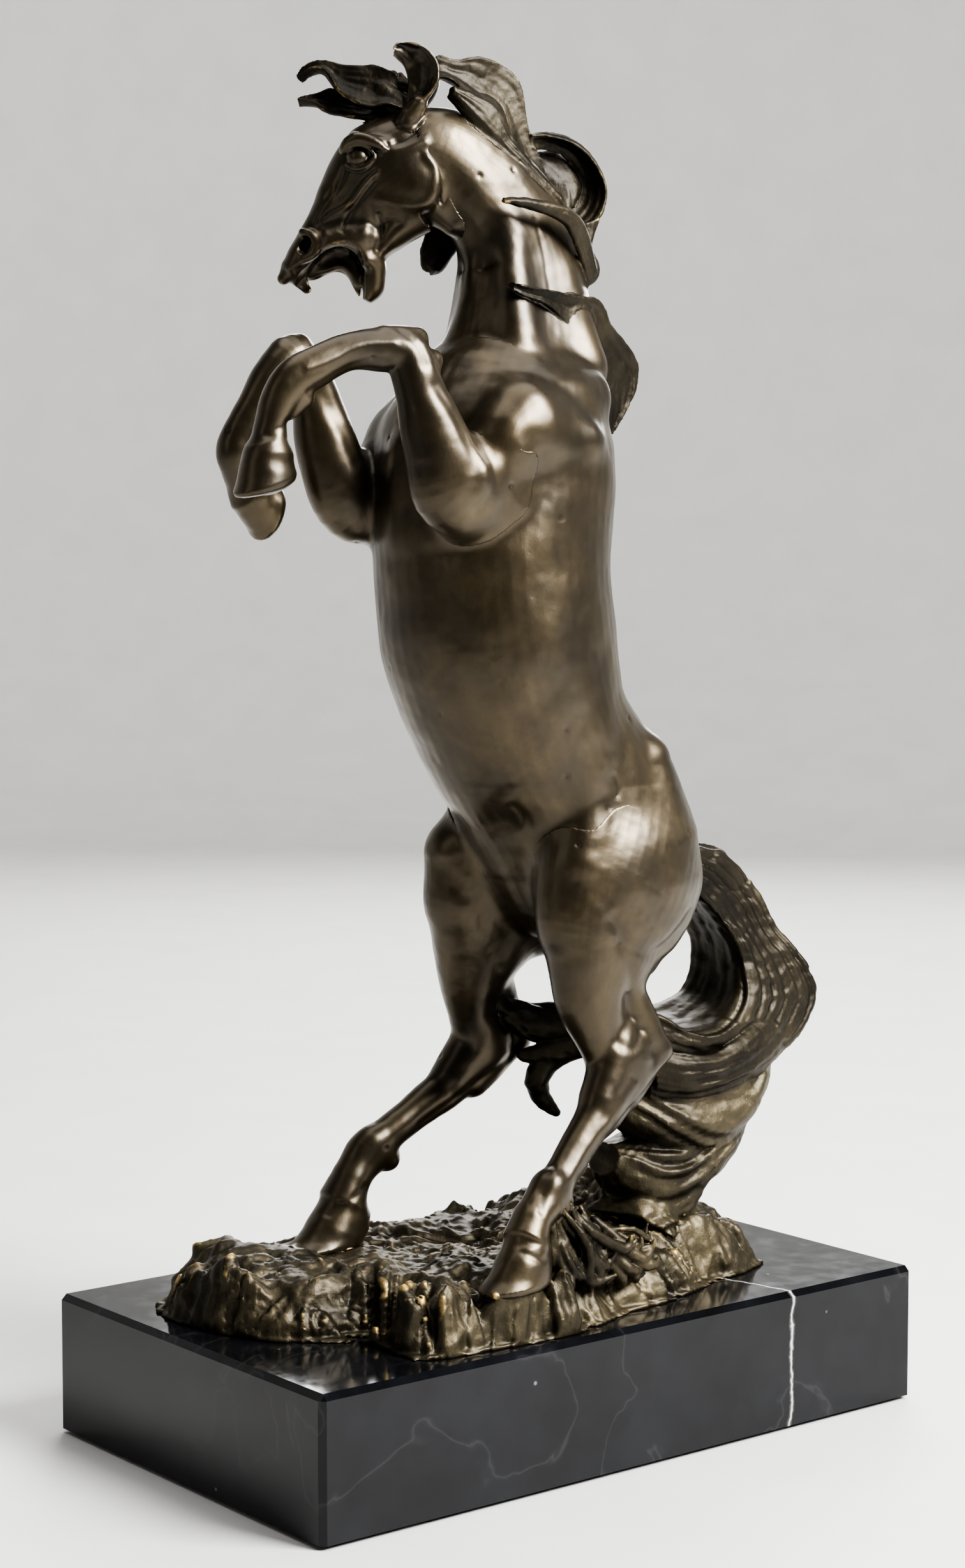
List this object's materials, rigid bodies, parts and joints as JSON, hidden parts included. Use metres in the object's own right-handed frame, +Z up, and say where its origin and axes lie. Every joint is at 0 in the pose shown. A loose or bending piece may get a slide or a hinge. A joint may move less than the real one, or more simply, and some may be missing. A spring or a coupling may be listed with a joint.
{
  "type": "horse statuette",
  "caption": "Bronze statuette of a rearing horse with flying mane and tail on rocky bronze ground, bolted to a rectangular black marble plinth.",
  "frame": {"origin": "centre of the felt's bottom face, where the statuette stands on a table", "axes": "+X along the plinth's long side, +Y across it towards the horse's right side, +Z up; the horse rears towards -X"},
  "size_m": [0.267, 0.161, 0.4852],
  "materials": {
    "marble": "polished",
    "felt": "matte",
    "steel": "satin",
    "bronze": "satin brown patina",
    "dark_bronze": "dark patina, rubbed to gold on the edges"
  },
  "bodies": {
    "root": {"plinth": "marble", "felt_base": "felt", "studs": "steel", "washers": "steel", "nuts": "steel", "bosses": "bronze", "ground": "dark_bronze", "grass": "dark_bronze", "torso": "bronze", "neck": "bronze", "head": "bronze", "ear_left": "bronze", "ear_right": "bronze", "forelock": "dark_bronze", "mane_crest": "dark_bronze", "mane_curl": "dark_bronze", "mane_ridge": "dark_bronze", "mane_shoulder": "dark_bronze", "mane_right": "dark_bronze", "foreleg_left": "bronze", "foreleg_right": "bronze", "hindleg_left": "bronze", "hindleg_right": "bronze", "tail": "dark_bronze", "tail_swirl": "dark_bronze", "tail_wisp": "dark_bronze"}
  },
  "joints": []
}
